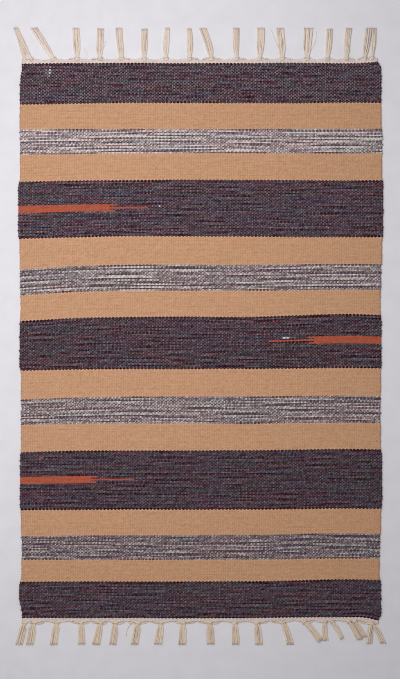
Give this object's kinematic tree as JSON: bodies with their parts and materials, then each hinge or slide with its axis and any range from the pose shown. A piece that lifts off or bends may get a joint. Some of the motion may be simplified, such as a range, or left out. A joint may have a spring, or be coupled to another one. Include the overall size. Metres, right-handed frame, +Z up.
{
  "type": "kilim rug",
  "caption": "Small flat-woven kilim rug with cross stripes, lying flat, with its warp ends knotted into a fringe at both ends.",
  "frame": {"origin": "on the floor, under the middle of the whole rug with its fringe", "axes": "+X across the rug, +Y along its length to the far end, +Z up out of its face"},
  "size_m": [0.6143, 1.017, 0.0052],
  "materials": {
    "woven_cloth": "matt flat-woven cotton in brown-black, tan and grey marl stripes, with three rust-orange inlays",
    "warp_fringe": "matt undyed cotton warp yarn"
  },
  "bodies": {
    "root": {"rug_cloth": "woven_cloth", "fringe_far": "warp_fringe", "fringe_near": "warp_fringe"}
  },
  "joints": []
}
